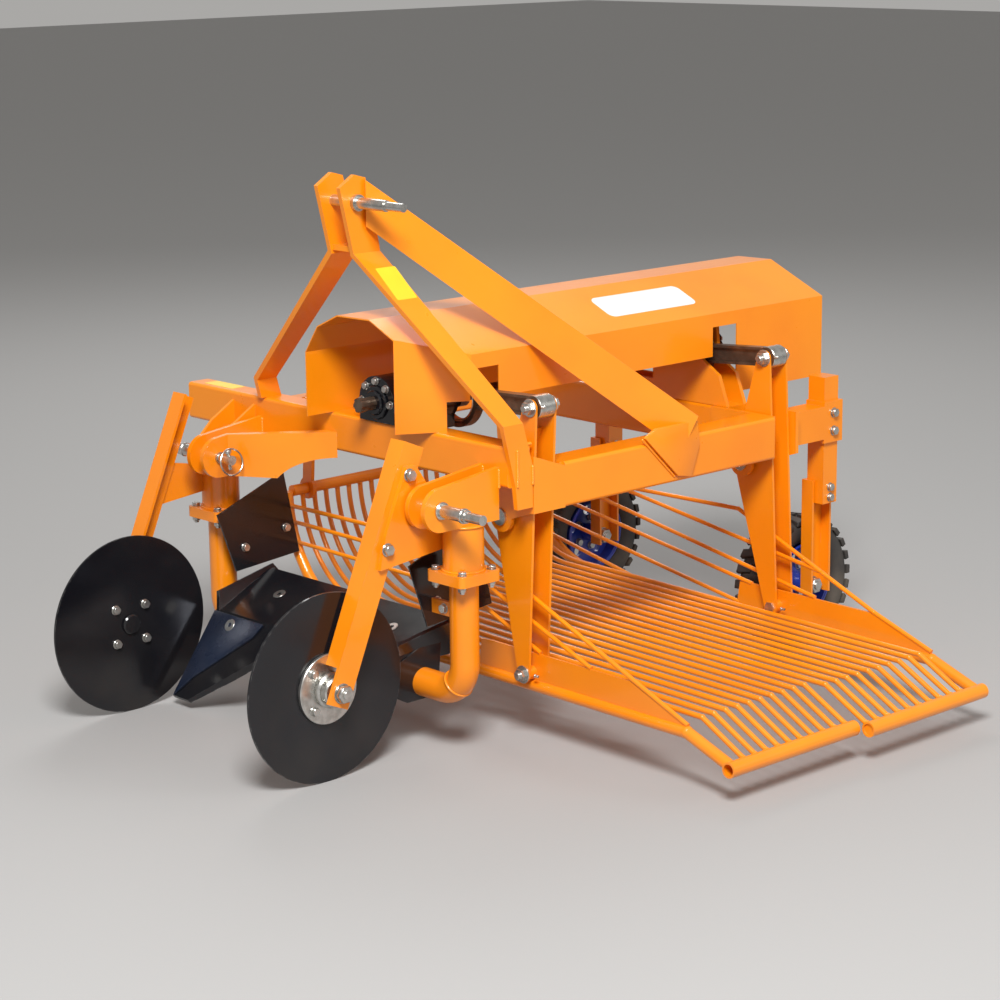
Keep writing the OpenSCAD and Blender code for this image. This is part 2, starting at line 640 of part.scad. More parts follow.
// The far tube moves a little less than the arm's foot, because the sieve tips as it shakes
function far_stroke(a) = stroke - arm_set * sin(swing)
    * (sieve_top_z - arm_point(arm_foot, a[1])[1]) / (arm_point(arm_foot, a[1])[0] - sieve_far_x);
function hanger_top_x(a) = sieve_far_x + sign(a[1]) * far_stroke(a);
module hanger(a) color(orange) place() {
    y = hanger_y(a) - hanger_t / 2;
    top = [hanger_top_x(a), hanger_z];
    foot = [sieve_far_x, sieve_top_z];
    v = foot - top;
    len = norm(v);
    plate_y(y, hanger_t) difference() {
        union() {
            translate(top) circle(d = hanger_w);
            translate(foot) circle(d = upper_tube_d + 26);
            translate(top) rotate(atan2(v[1], v[0]))
                translate([0, -hanger_w / 2 + 4]) square([len, hanger_w - 8]);
        }
        translate(top) circle(d = arm_pin_d + 0.2);
        translate(foot) circle(d = upper_tube_d + 2 * hanger_play);
    }
}
module hanger_front() hanger(FRONT);
module hanger_rear() hanger(REAR);
// Lugs on the far side beam with the hangers' pivot pins
module hanger_lugs() color(orange) place()
    for (a = [FRONT, REAR]) {
        x_in = far_side_x + side_w;
        top = [hanger_top_x(a), hanger_z];
        y = hanger_y(a) + hanger_t / 2 + arm_clear;
        plate_y(y, arm_lug_t) {
            translate(top) circle(r = 24);
            polygon([[x_in, side_bottom + 20], [x_in, side_top - 8], [top[0] - 10, hanger_z + 22],
                     [top[0] + 24, hanger_z], [top[0] + 20, hanger_z - 14]]);
        }
        bar_y(y - hanger_t - 2 * arm_clear, y, top[0], top[1], arm_pin_d);
        bar_y(y - hanger_t - 2 * arm_clear - 6, y - hanger_t - 2 * arm_clear, top[0], top[1], 34);
    }

// Leg: upper tube, two bolted flanges, lower tube and an elbow turned inwards
// s is the way the elbow points along X
flange_z = 401;
flange_t = 12;
flange_w = 115;
leg_end = 136;
module leg(x, s) {
    z_top = hitch_z - lug_r;
    bar_z(flange_z + 2 * flange_t, z_top, x, leg_y, leg_top_d);
    for (i = [0, 1])
        translate([x, leg_y, flange_z + i * flange_t]) rotate([0, 0, 0])
            translate([-flange_w / 2, -flange_w / 2, 0])
            linear_extrude(flange_t) tube_outline(flange_w, flange_w, 12);
    bar_z(elbow_z + elbow_r, flange_z, x, leg_y, leg_d);
    translate([x + s * elbow_r, leg_y, elbow_z + elbow_r]) rotate([90, 0, 0])
        rotate([0, 0, s > 0 ? 180 : 270]) rotate_extrude(angle = 90) translate([elbow_r, 0]) circle(d = leg_d);
    bar_x(min(x + s * elbow_r, x + s * leg_end), max(x + s * elbow_r, x + s * leg_end),
          leg_y, elbow_z, leg_d);
}
// Slotted flat bar that carries a deflector plate
bracket_z = 312;
bracket_h = 32;
module deflector_bracket(x, s, reach) difference() {
    translate([s < 0 ? x - reach : x, 0, 0])
        plate_y(leg_y - 4, 8) translate([0, bracket_z]) square([reach, bracket_h]);
    translate([x + s * (reach - 30), leg_y - 10, bracket_z + 12]) cube([22, 20, 8], center = false);
}
module leg_near() color(orange) place() {
    leg(leg_near_x, -1);
    deflector_bracket(leg_near_x, -1, deflector_near_set - deflector_t);
}
// The far leg hangs from two plates on the front beam
module leg_far() color(orange) place() {
    leg(leg_far_x, 1);
    deflector_bracket(leg_far_x, 1, deflector_far_set);
    z0 = hitch_z - lug_r;
    for (x = [leg_far_x - leg_top_d / 2, leg_far_x + leg_top_d / 2 - plate_t])
        plate_x(x, plate_t)
            polygon([[leg_y - 40, z0], [beam_y + 20, z0], [beam_y + 20, beam_bottom],
                     [beam_y, beam_bottom], [beam_y, beam_top - 20], [leg_y + 10, beam_top - 60],
                     [leg_y - 40, z0 + 50]]);
}

// Share: a blade with two points, folded level at the top, on two cheeks at the legs' ends.
// Its outline is in Y and Z. A wing rises at each end.
share_mid = (disc_near_x + disc_far_x) / 2;
cheek_t = 10;
wing_lean = 20;
module share() color(black) place() {
    cheek_x0 = leg_far_x + leg_end;
    cheek_x1 = leg_near_x - leg_end;
    for (x = [cheek_x0, cheek_x1 - cheek_t])
        plate_x(x, cheek_t)
            polygon([[-30, 146], [40, 108], [130, 108], [142, 251], [10, 199]]);
    difference() {
        plate_x(share_mid - share_half, 2 * share_half)
            polygon([[-125, 18], [-72, 84], [10, 196], [176, 262], [172, 273], [5, 206],
                     [-80, 91], [-129, 24]]);
        translate([share_mid, 0, 0]) linear_extrude(200)
            polygon([[-share_half + 14, -150], [share_half - 14, -150], [0, 4]]);
    }
    for (s = [-1, 1])
        translate([share_mid + s * (share_half - 12), 0, 200]) rotate([0, s * wing_lean, 0])
            plate_x(-share_t / 2, share_t)
            polygon([[-4, -10], [150, -10], [245, -12], [183, 84], [13, 49]]);
}
// Deflector plates inside the legs, on slotted brackets
deflector_t = 4;
deflector_near_set = 104;
deflector_far_set = 70;
module deflector(x) plate_x(x, deflector_t)
    polygon([[leg_y - 67, 424], [leg_y + 130, 499], [leg_y + 172, 297], [leg_y - 17, 281]]);
module deflector_far() color(black) place() deflector(leg_far_x + deflector_far_set);
module deflector_near() color(black) place() deflector(leg_near_x - deflector_near_set);

// Disc arm: an angle iron that leans back, and the plate that ties it to the leg
disc_z = disc_d / 2;
disc_arm_lean = 23;
disc_arm_len = 540;
disc_arm_w = 56;
angle_w = 44;
angle_t = 7;
hub_len = 40;
axle_d = 20;
module disc_arm(x0, s, leg_x) {
    difference() {
        union() {
            translate([x0, disc_y, disc_z]) rotate([-disc_arm_lean, 0, 0]) {
                translate([s < 0 ? -angle_t : 0, -disc_arm_w / 2, -30])
                    cube([angle_t, disc_arm_w, disc_arm_len + 30]);
                translate([s < 0 ? -angle_t : angle_t - angle_w, -disc_arm_w / 2, 48])
                    cube([angle_w, angle_t, disc_arm_len - 48]);
            }
            plate_x(s < 0 ? x0 - angle_t - 10 : x0 + angle_t, 10)
                polygon([[-110, 450], [leg_y, 470], [leg_y, hitch_z - lug_r - 5], [-8, s < 0 ? 540 : 660],
                         [-34, s < 0 ? 545 : 660], [-94, 520]]);
        }
        bar_z(400, hitch_z, leg_x, leg_y, leg_top_d);
    }
    bar_x(s < 0 ? x0 - 26 : x0 - hub_len - 16, s < 0 ? x0 + hub_len + 16 : x0 + 26, disc_y, disc_z, axle_d);
}
module disc_arm_near() color(orange) place() disc_arm(disc_near_x + disc_t / 2 + hub_len + 5, 1, leg_near_x);
module disc_arm_far() color(orange) place() disc_arm(disc_far_x - disc_t / 2 - hub_len - 5, -1, leg_far_x);
module coulter(x, s) color(black) place() difference() {
    union() {
        bar_x(x - disc_t / 2, x + disc_t / 2, disc_y, disc_z, disc_d);
        bar_x(s > 0 ? x : x - disc_t / 2 - 8, s > 0 ? x + disc_t / 2 + 8 : x, disc_y, disc_z, 150);
        bar_x(s > 0 ? x : x - disc_t / 2 - hub_len, s > 0 ? x + disc_t / 2 + hub_len : x,
              disc_y, disc_z, 62);
    }
    bar_x(x - 80, x + 80, disc_y, disc_z, axle_d + 0.2);
}
module disc_near() coulter(disc_near_x, 1);
module disc_far() coulter(disc_far_x, -1);

// Wheel stand: arm from the rear beam, upright post, and a channel that carries the axle
wheel_z = wheel_d / 2;
stand_gap = 7;
channel_w = 70;
channel_d = 34;
post_w = 50;
module wheel_stand(wheel_x) {
    x0 = wheel_x + tyre_w / 2 + stand_gap;
    rear = rear_beam_y + rear_beam_depth + arm_lug_t;
    y_mid = wheel_y;
    translate([x0, y_mid - channel_w / 2, 150]) difference() {
        cube([channel_d, channel_w, 286]);
        translate([8, 6, -1]) cube([channel_d, channel_w - 12, 288]);
    }
    translate([x0 + 8, y_mid - post_w / 2, 380]) cube([post_w, post_w, 310]);
    translate([x0 + 8, y_mid - post_w / 2 - 8, side_bottom])
        difference() {
            cube([post_w + 8, post_w + 16, side_h]);
            translate([0, 8, -1]) cube([post_w, post_w, side_h + 2]);
        }
    translate([x0 + 8, rear, side_bottom + 10]) cube([post_w + 8, y_mid - post_w / 2 - 8 - rear, 80]);
    bar_x(wheel_x - 40, x0 + 26, wheel_y, wheel_z, axle_d);
}
module wheel_stand_near() color(orange) place() wheel_stand(wheel_near_x);
module wheel_stand_far() color(orange) place() {
    wheel_stand(wheel_far_x);
    x0 = wheel_far_x + tyre_w / 2 + stand_gap;
    rear = rear_beam_y + rear_beam_depth;
    translate([x0 + 8, rear, side_bottom + 10]) cube([post_w + 8, arm_lug_t, 80]);
}
module rim(x) color(blue) place() difference() {
    union() {
        bar_x(x - tyre_w / 2 + 12, x + tyre_w / 2 - 12, wheel_y, wheel_z, rim_d);
    }
    for (s = [-1, 1])
        bar_x(s > 0 ? x + 5 : x - tyre_w / 2, s > 0 ? x + tyre_w / 2 : x - 5, wheel_y, wheel_z, rim_d - 16);
    for (i = [0 : 4])
        translate([x, wheel_y, wheel_z]) rotate([i * 72, 0, 0]) translate([-10, 0, rim_d / 2 - 36])
            rotate([0, 90, 0]) cylinder(d = 26, h = 20);
    bar_x(x - 60, x + 60, wheel_y, wheel_z, axle_d + 0.2);
}
module hub(x) color(blue) place() difference() {
    bar_x(x - 34, x + tyre_w / 2 + 2, wheel_y, wheel_z, 46);
    bar_x(x - 60, x + 60, wheel_y, wheel_z, axle_d + 0.2);
}
module rim_near() {
    rim(wheel_near_x);
    hub(wheel_near_x);
}
module rim_far() {
    rim(wheel_far_x);
    hub(wheel_far_x);
}
module tyre(x) color(rubber) place()
    translate([x, wheel_y, wheel_z]) rotate([0, 90, 0]) rotate_extrude($fn = 72) {
        polygon([[rim_d / 2, -tyre_w / 2 + 14], [wheel_d / 2 - 26, -tyre_w / 2],
                 [wheel_d / 2 - 10, -tyre_w / 2 + 5], [wheel_d / 2, -tyre_w / 2 + 18],
                 [wheel_d / 2, tyre_w / 2 - 18], [wheel_d / 2 - 10, tyre_w / 2 - 5],
                 [wheel_d / 2 - 26, tyre_w / 2], [rim_d / 2, tyre_w / 2 - 14]]);
    }
module tyre_near() tyre(wheel_near_x);
module tyre_far() tyre(wheel_far_x);

front_beam();
side_beam_near();
side_beam_far();
rear_beam();
lug_near();
lug_far();
lower_pin_near();
lower_pin_far();
mast_near();
mast_far();
mast_brace();
top_pin();
hood();
hood_bulkhead();
gearbox();
stub_shaft();
eccentric_shaft();
arm_lugs();
arm_pivot_pins();
arm_front();
arm_rear();
arm_front_pins();
arm_rear_pins();
conrod_front();
conrod_rear();
sieve_front();
sieve_rear();
sieve_front_side();
sieve_rear_side();
hanger_front();
hanger_rear();
hanger_lugs();
leg_near();
leg_far();
share();
deflector_near();
deflector_far();
disc_arm_near();
disc_arm_far();
disc_near();
disc_far();
wheel_stand_near();
wheel_stand_far();
rim_near();
rim_far();
tyre_near();
tyre_far();
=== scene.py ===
import math

import bpy
from mathutils import Matrix, Vector


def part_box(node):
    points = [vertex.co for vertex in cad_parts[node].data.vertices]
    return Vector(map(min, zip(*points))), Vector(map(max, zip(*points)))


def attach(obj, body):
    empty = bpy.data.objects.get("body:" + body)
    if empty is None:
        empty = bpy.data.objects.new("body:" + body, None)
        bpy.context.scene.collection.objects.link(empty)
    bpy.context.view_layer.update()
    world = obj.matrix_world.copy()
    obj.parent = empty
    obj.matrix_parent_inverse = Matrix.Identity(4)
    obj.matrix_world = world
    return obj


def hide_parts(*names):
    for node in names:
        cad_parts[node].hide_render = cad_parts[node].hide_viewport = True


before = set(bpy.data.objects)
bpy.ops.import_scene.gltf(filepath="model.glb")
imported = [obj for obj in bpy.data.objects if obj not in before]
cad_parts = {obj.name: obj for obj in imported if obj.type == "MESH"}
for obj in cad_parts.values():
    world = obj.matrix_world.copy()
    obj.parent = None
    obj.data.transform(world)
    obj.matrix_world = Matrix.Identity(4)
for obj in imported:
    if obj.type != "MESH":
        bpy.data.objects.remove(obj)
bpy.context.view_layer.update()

# The hitch frame of the digger, which every place below is measured from: millimetres from the
# line through the lower hitch pins, midway between the lugs, and from the ground. X runs to the
# near side, where the sieves discharge, and Y runs to the rear.
mm = 0.001
lug_half_span = 412.5
pin_low, pin_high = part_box("lower_pin_near")
lug_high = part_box("lug_near")[1]
hitch = Vector((lug_high.x - lug_half_span * mm, (pin_low.y + pin_high.y) / 2, 0))


def at(x, y, z):
    return hitch + Vector((x, y, z)) * mm


def select_none():
    bpy.ops.object.select_all(action="DESELECT")


select_none()

# Camera: a long lens off the near front corner, 1.8 m above the ground and about 5.9 m away, where
# the photographer stood. Its directions are the right, up and back of the picture.
picture_right = Vector((0.6814, 0.7318, -0.0113))
picture_up = Vector((-0.157, 0.1612, 0.9743))
picture_back = Vector((0.7149, -0.6621, 0.2248))
bpy.ops.object.camera_add(location=at(4366.2, -3495.6, 1810.9))
camera = bpy.context.object
camera_turn = Matrix((picture_right, picture_up, picture_back)).transposed().to_4x4()
camera.matrix_world = Matrix.Translation(camera.location) @ camera_turn
camera.data.sensor_width = 36
camera.data.lens = 93.8
camera.data.clip_end = 100
bpy.context.scene.camera = camera

# Floor: grey painted concrete, seamless and dull. It is far wider than the picture and is no part
# of the machine.
bpy.ops.mesh.primitive_plane_add(size=60, location=(0, 0, 0))
floor = bpy.context.object
floor.name = "floor"
floor_paint = bpy.data.materials.new("floor_paint")
floor_paint.use_nodes = True
floor_shader = floor_paint.node_tree.nodes["Principled BSDF"]
floor_shader.inputs["Base Color"].default_value = (0.36, 0.355, 0.35, 1)
floor_shader.inputs["Roughness"].default_value = 0.85
floor.data.materials.append(floor_paint)

# Light: an even pale sky, a soft lamp high on the near front side, a weak one at the near rear, and
# a wide one at the far rear that draws the edges of the tubes. The lamps' places are in metres from
# the middle of the floor.
sky = bpy.data.worlds.new("sky")
sky.use_nodes = True
sky.node_tree.nodes["Background"].inputs["Color"].default_value = (1.0, 0.98, 0.95, 1)
sky.node_tree.nodes["Background"].inputs["Strength"].default_value = 0.4
bpy.context.scene.world = sky
bpy.context.scene.view_settings.view_transform = "Standard"
for place, target, size, watts in (((3.6, -3.4, 5.2), (0, 0, 0.5), 1.8, 620),
                                   ((5.5, 2.5, 3.0), (0, 0, 0.4), 2.5, 60),
                                   ((-4.0, 3.0, 4.5), (0, 0, 0.6), 3.0, 120)):
    bpy.ops.object.light_add(type="AREA", location=place)
    lamp = bpy.context.object
    lamp.data.size = size
    lamp.data.energy = watts
    lamp.rotation_euler = (Vector(place) - Vector(target)).to_track_quat("Z", "Y").to_euler()


# Finishes. Three effects are shared by them: paint worn off along edges, dust that settles low
# down and on upward faces, and the fine unevenness of a sprayed or rolled surface.
def start_group(name, inputs, outputs):
    group = bpy.data.node_groups.new(name, "ShaderNodeTree")
    for label, value in inputs:
        socket = group.interface.new_socket(name=label, in_out="INPUT",
                                            socket_type="NodeSocketFloat")
        socket.default_value = value
    for label in outputs:
        group.interface.new_socket(name=label, in_out="OUTPUT", socket_type="NodeSocketFloat")
    return group, group.nodes.new("NodeGroupInput"), group.nodes.new("NodeGroupOutput")


def set_or_link(tree, socket, value):
    """Sets a constant on a socket, or links another node's output to it."""
    if isinstance(value, (int, float, tuple)):
        socket.default_value = value
    else:
        tree.links.new(value, socket)


def math_node(tree, operation, first, second, clamp=False):
    node = tree.nodes.new("ShaderNodeMath")
    node.operation = operation
    node.use_clamp = clamp
    for socket, value in zip(node.inputs, (first, second)):
        set_or_link(tree, socket, value)
    return node.outputs[0]


def noise_node(tree, scale, detail=3.0):
    place = tree.nodes.new("ShaderNodeTexCoord")
    noise = tree.nodes.new("ShaderNodeTexNoise")
    noise.inputs["Detail"].default_value = detail
    tree.links.new(place.outputs["Object"], noise.inputs["Vector"])
    set_or_link(tree, noise.inputs["Scale"], scale)
    return noise.outputs["Fac"]


def ramp_node(tree, value, low, high):
    ramp = tree.nodes.new("ShaderNodeMapRange")
    ramp.interpolation_type = "SMOOTHSTEP"
    ramp.inputs["From Min"].default_value = low
    ramp.inputs["From Max"].default_value = high
    tree.links.new(value, ramp.inputs["Value"])
    return ramp.outputs["Result"]


# Edge wear: a rounded normal differs from the true one along edges, and noise breaks the line up.
wear_reach = 0.003
wear_grain = 70.0
edge_wear, wear_in, wear_out = start_group("edge_wear", (("Amount", 0.5), ("Grain", wear_grain)),
                                           ("Mask",))
round_normal = edge_wear.nodes.new("ShaderNodeBevel")
round_normal.samples = 6
round_normal.inputs["Radius"].default_value = wear_reach
true_normal = edge_wear.nodes.new("ShaderNodeNewGeometry")
turned = edge_wear.nodes.new("ShaderNodeVectorMath")
turned.operation = "DOT_PRODUCT"
edge_wear.links.new(round_normal.outputs["Normal"], turned.inputs[0])
edge_wear.links.new(true_normal.outputs["Normal"], turned.inputs[1])
corner = math_node(edge_wear, "SUBTRACT", 1.0, turned.outputs["Value"], clamp=True)
patchy = ramp_node(edge_wear, noise_node(edge_wear, wear_in.outputs["Grain"]), 0.45, 0.65)
worn = math_node(edge_wear, "MULTIPLY", ramp_node(edge_wear, corner, 0.04, 0.2), patchy)
edge_wear.links.new(math_node(edge_wear, "MULTIPLY", worn, wear_in.outputs["Amount"], clamp=True),
                    wear_out.inputs["Mask"])

# Dust: it thins out up to a height, lies a little on faces that look up, and is cloudy.
lying_share = 0.35
dust, dust_in, dust_out = start_group("dust", (("Amount", 0.5), ("Height", 0.4)), ("Mask",))
spot = dust.nodes.new("ShaderNodeTexCoord")
height = dust.nodes.new("ShaderNodeSeparateXYZ")
dust.links.new(spot.outputs["Object"], height.inputs[0])
height_share = math_node(dust, "DIVIDE", height.outputs["Z"], dust_in.outputs["Height"])
low_down = math_node(dust, "SUBTRACT", 1.0, height_share, clamp=True)
facing = dust.nodes.new("ShaderNodeNewGeometry")
facing_parts = dust.nodes.new("ShaderNodeSeparateXYZ")
dust.links.new(facing.outputs["Normal"], facing_parts.inputs[0])
looks_up = ramp_node(dust, facing_parts.outputs["Z"], 0.5, 1.0)
lying = math_node(dust, "MULTIPLY", looks_up, lying_share)
cloudy = ramp_node(dust, noise_node(dust, 9.0, 6.0), 0.3, 0.75)
settled = math_node(dust, "MULTIPLY", math_node(dust, "ADD", low_down, lying), cloudy)
dust.links.new(math_node(dust, "MULTIPLY", settled, dust_in.outputs["Amount"], clamp=True),
               dust_out.inputs["Mask"])

# Fine grain: the height of the surface's unevenness, for its bump.
fine_grain, grain_in, grain_out = start_group("fine_grain", (("Scale", 300.0),), ("Height",))
grain_noise = noise_node(fine_grain, grain_in.outputs["Scale"], 2.0)
fine_grain.links.new(grain_noise, grain_out.inputs["Height"])

earth = (0.33, 0.25, 0.17, 1)
dust_roughness = 0.5
uneven_roughness = 0.12
coat_roughness = 0.08


def place_group(tree, group, **values):
    node = tree.nodes.new("ShaderNodeGroup")
    node.node_tree = group
    for label, value in values.items():
        node.inputs[label].default_value = value
    return node.outputs[0]


def mix_colours(tree, mask, below, above):
    mix = tree.nodes.new("ShaderNodeMix")
    mix.data_type = "RGBA"
    tree.links.new(mask, mix.inputs["Factor"])
    set_or_link(tree, mix.inputs["A"], below)
    set_or_link(tree, mix.inputs["B"], above)
    return mix.outputs["Result"]


def finish(name, colour, second, rough, metal=0.0, coat=0.0, patch=5.0, wear=0.0,
           under=(0.3, 0.28, 0.26, 1), dirt=0.4, dirt_height=0.4, grain=300.0, bump=0.02,
           bright_wear=True):
    """A surface in two tones, worn to the colour under it, with dust, and grain of bump mm."""
    material = bpy.data.materials.new(name)
    material.use_nodes = True
    tree = material.node_tree
    shader = tree.nodes["Principled BSDF"]
    patches = ramp_node(tree, noise_node(tree, patch, 5.0), 0.35, 0.7)
    base = mix_colours(tree, patches, colour, second)
    worn_mask = place_group(tree, edge_wear, Amount=wear, Grain=wear_grain)
    dirt_mask = place_group(tree, dust, Amount=dirt, Height=dirt_height)
    base = mix_colours(tree, worn_mask, base, under)
    base = mix_colours(tree, dirt_mask, base, earth)
    tree.links.new(base, shader.inputs["Base Color"])
    dusty = math_node(tree, "ADD", rough, math_node(tree, "MULTIPLY", dirt_mask, dust_roughness))
    uneven = math_node(tree, "MULTIPLY", noise_node(tree, 25.0, 4.0), uneven_roughness)
    rough_value = math_node(tree, "ADD", dusty, uneven, clamp=True)
    tree.links.new(rough_value, shader.inputs["Roughness"])
    if bright_wear:
        metal_value = math_node(tree, "ADD", metal, worn_mask, clamp=True)
        clean = math_node(tree, "SUBTRACT", metal_value, dirt_mask, clamp=True)
        tree.links.new(clean, shader.inputs["Metallic"])
    shader.inputs["Coat Weight"].default_value = coat
    shader.inputs["Coat Roughness"].default_value = coat_roughness
    relief = tree.nodes.new("ShaderNodeBump")
    relief.inputs["Strength"].default_value = 1.0
    relief.inputs["Distance"].default_value = bump * mm
    tree.links.new(place_group(tree, fine_grain, Scale=grain), relief.inputs["Height"])
    tree.links.new(relief.outputs["Normal"], shader.inputs["Normal"])
    return material


# Frame, mast, hood, arms and sieves: mild steel sprayed with gloss orange enamel, a little
# thinner in patches, chipped to grey along a few edges, and slightly dusty low down.
orange_paint = finish("orange_enamel", (0.88, 0.265, 0.003, 1), (0.83, 0.225, 0.002, 1),
                      rough=0.24, coat=0.35, patch=3.0, wear=0.25, dirt=0.06, dirt_height=0.3,
                      grain=260.0, bump=0.05)
# Deflectors, discs, folded share plate and gear housing: black enamel, new and clean.
black_paint = finish("black_enamel", (0.005, 0.005, 0.007, 1), (0.009, 0.009, 0.011, 1),
                     rough=0.1, wear=0.45, under=(0.35, 0.34, 0.33, 1), dirt=0.03,
                     dirt_height=0.3, grain=350.0, bump=0.05)
# Pins and bolts: bright zinc plate, slightly yellowed, with a soft sheen.
zinc_plate = finish("zinc_plate", (0.62, 0.61, 0.58, 1), (0.46, 0.45, 0.42, 1), rough=0.22,
                    metal=0.95, patch=60.0, wear=0.2, under=(0.7, 0.7, 0.68, 1), dirt=0.1,
                    grain=600.0)
# Connecting rods, eccentric shaft and drive stub: forged steel under a brown oil film.
oiled_steel = finish("oiled_steel", (0.10, 0.066, 0.045, 1), (0.17, 0.12, 0.085, 1), rough=0.3,
                     metal=0.7, patch=30.0, wear=0.4, dirt=0.1, grain=220.0, bump=0.2)
# Wheel rims: blue enamel.
blue_paint = finish("blue_enamel", (0.010, 0.045, 0.42, 1), (0.008, 0.032, 0.32, 1), rough=0.25,
                    coat=0.35, wear=0.3, dirt=0.2, dirt_height=0.3, bump=0.05)
# Tyres: black rubber, matt, with a little earth in the grooves.
tyre_rubber = finish("tyre_rubber", (0.020, 0.020, 0.021, 1), (0.036, 0.035, 0.034, 1),
                     rough=0.62, wear=0.2, under=(0.07, 0.065, 0.06, 1), dirt=0.3,
                     grain=500.0, bump=0.15, bright_wear=False)

finish_of_slot = {"orange_paint": orange_paint, "black_paint": black_paint, "zinc": zinc_plate,
                  "bare_steel": oiled_steel, "blue_paint": blue_paint, "tyre": tyre_rubber}
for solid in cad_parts.values():
    for slot in solid.material_slots:
        slot.material = finish_of_slot[slot.material.name]


# Bolts: zinc plated hexagon bolts and nuts on flat washers. A nut and a head of M16, a head of
# M10 and an axle's big nut are modelled, and copied to every place, scaled to the bolt there.
def active_piece():
    return bpy.context.view_layer.objects.active


def select_only(piece):
    select_none()
    piece.select_set(True)
    bpy.context.view_layer.objects.active = piece


def apply_modifier(piece, modifier):
    select_only(piece)
    bpy.ops.object.modifier_apply(modifier=modifier.name)


def apply_places():
    bpy.ops.object.transform_apply(location=True, rotation=True, scale=True)


def join_all(pieces, name):
    select_none()
    for piece in pieces:
        piece.select_set(True)
    bpy.context.view_layer.objects.active = pieces[0]
    bpy.ops.object.join()
    whole = active_piece()
    whole.name = name
    return whole


def bevel_sharp(piece, width, segments=1, angle=40):
    rounding = piece.modifiers.new("rounded_edges", "BEVEL")
    rounding.width = width
    rounding.segments = segments
    rounding.limit_method = "ANGLE"
    rounding.angle_limit = math.radians(angle)
    apply_modifier(piece, rounding)


def add_round(diameter, z0, z1, sides=32, edge=0.6):
    """A round bar along Z between two heights, with its rims chamfered."""
    bpy.ops.mesh.primitive_cylinder_add(vertices=sides, radius=diameter / 2 * mm,
                                        depth=(z1 - z0) * mm, location=(0, 0, (z0 + z1) / 2 * mm))
    bar = active_piece()
    apply_places()
    if edge:
        bevel_sharp(bar, edge * mm, angle=50)
    return bar


# The ways that a bolt or a turned piece points.
to_near, to_far = (1, 0, 0), (-1, 0, 0)
to_rear, to_front = (0, 1, 0), (0, -1, 0)
to_sky, to_ground = (0, 0, 1), (0, 0, -1)


def turn_to(direction):
    """The turn that points a piece made along +Z in another direction."""
    return Vector((0, 0, 1)).rotation_difference(Vector(direction)).to_matrix().to_4x4()


def put(piece, place, turn, size=1):
    """Scales and turns a piece's points and moves them to a place in the hitch frame."""
    piece.data.transform(Matrix.Translation(at(*place)) @ turn @ Matrix.Scale(size, 4))


def dress(piece, name, body, material, smooth=35):
    piece.name = name
    piece.data.name = name
    piece.data.materials.clear()
    piece.data.materials.append(material)
    select_only(piece)
    bpy.ops.object.shade_smooth_by_angle(angle=math.radians(smooth))
    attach(piece, body)


def put_copies(name, body, pattern, places):
    """Copies a zinc plated pattern that points along +Z to rows of x, y, z, direction and size."""
    copies = []
    for x, y, z, direction, size in places:
        copy = bpy.data.objects.new(name, pattern.data.copy())
        bpy.context.scene.collection.objects.link(copy)
        put(copy, (x, y, z), turn_to(direction), size)
        copies.append(copy)
    dress(join_all(copies, name), name, body, zinc_plate)


washer_thick = 2.5


def bolt_end(flats, height, washer_d, thread_d, thread_out):
    """A washer and a hexagon that is as wide as flats, with or without a thread end."""
    top = washer_thick + height
    over_corners = flats / math.cos(math.radians(30))
    hexagon = add_round(over_corners, washer_thick, top, sides=6, edge=flats * 0.05)
    parts = [add_round(washer_d, 0, washer_thick), hexagon]
    if thread_out:
        parts.append(add_round(thread_d, washer_thick, top + thread_out, sides=20, edge=1.2))
    return join_all(parts, "bolt_pattern")


m16_nut = bolt_end(24, 13, washer_d=30, thread_d=16, thread_out=7)
m16_head = bolt_end(24, 10, washer_d=30, thread_d=16, thread_out=0)
m10_head = bolt_end(17, 7, washer_d=22, thread_d=10, thread_out=0)
axle_nut = bolt_end(44, 18, washer_d=54, thread_d=26, thread_out=5)

# Leg flanges: two square steel plates, welded to the upper and the lower half of each leg, and
# held together by four bolts, with their heads on top and their nuts below.
legs = {"near": 381, "far": -470}
leg_back = 88
flange_low = 401
flange_high = 425
flange_bolt_out = 42
for side, leg_x in legs.items():
    corners = [(leg_x + dx, leg_back + dy) for dx in (-flange_bolt_out, flange_bolt_out)
               for dy in (-flange_bolt_out, flange_bolt_out)]
    put_copies("leg_flange_heads_" + side, "frame", m16_head,
               [(x, y, flange_high, to_sky, 0.7) for x, y in corners])
    put_copies("leg_flange_nuts_" + side, "frame", m16_nut,
               [(x, y, flange_low, to_ground, 0.7) for x, y in corners])

# Deflector bolts: one through each slotted bracket, with its nut behind, and two with their
# heads on the near side that hold each black plate.
bracket_places = (322, -419)
bracket_front = 84
bracket_back = 92
bracket_up = 328
deflector_faces = (-396, 281)
deflector_bolts = ((221, 362), (98, 335))
put_copies("bracket_bolts", "frame", m16_head,
           [(x, bracket_front, bracket_up, to_front, 0.75) for x in bracket_places])
put_copies("bracket_nuts", "frame", m16_nut,
           [(x, bracket_back, bracket_up, to_rear, 0.75) for x in bracket_places])
put_copies("deflector_bolts", "frame", m16_head,
           [(x, y, z, to_near, 0.7) for x in deflector_faces for y, z in deflector_bolts])

# Rocker arm joints: washers under the pins' nuts with a thread end outside each nut, and a
# grease nipple at each end. All are zinc plated and ride on the arm.
arm_pivot = (346, 510)
pin_offset = 66
arm_reach_up = 250
arm_reach_down = 346
arm_half = 31
nipple_out = 25
nipple_ahead = 20
nipple_rise = 4
fork_half = 22
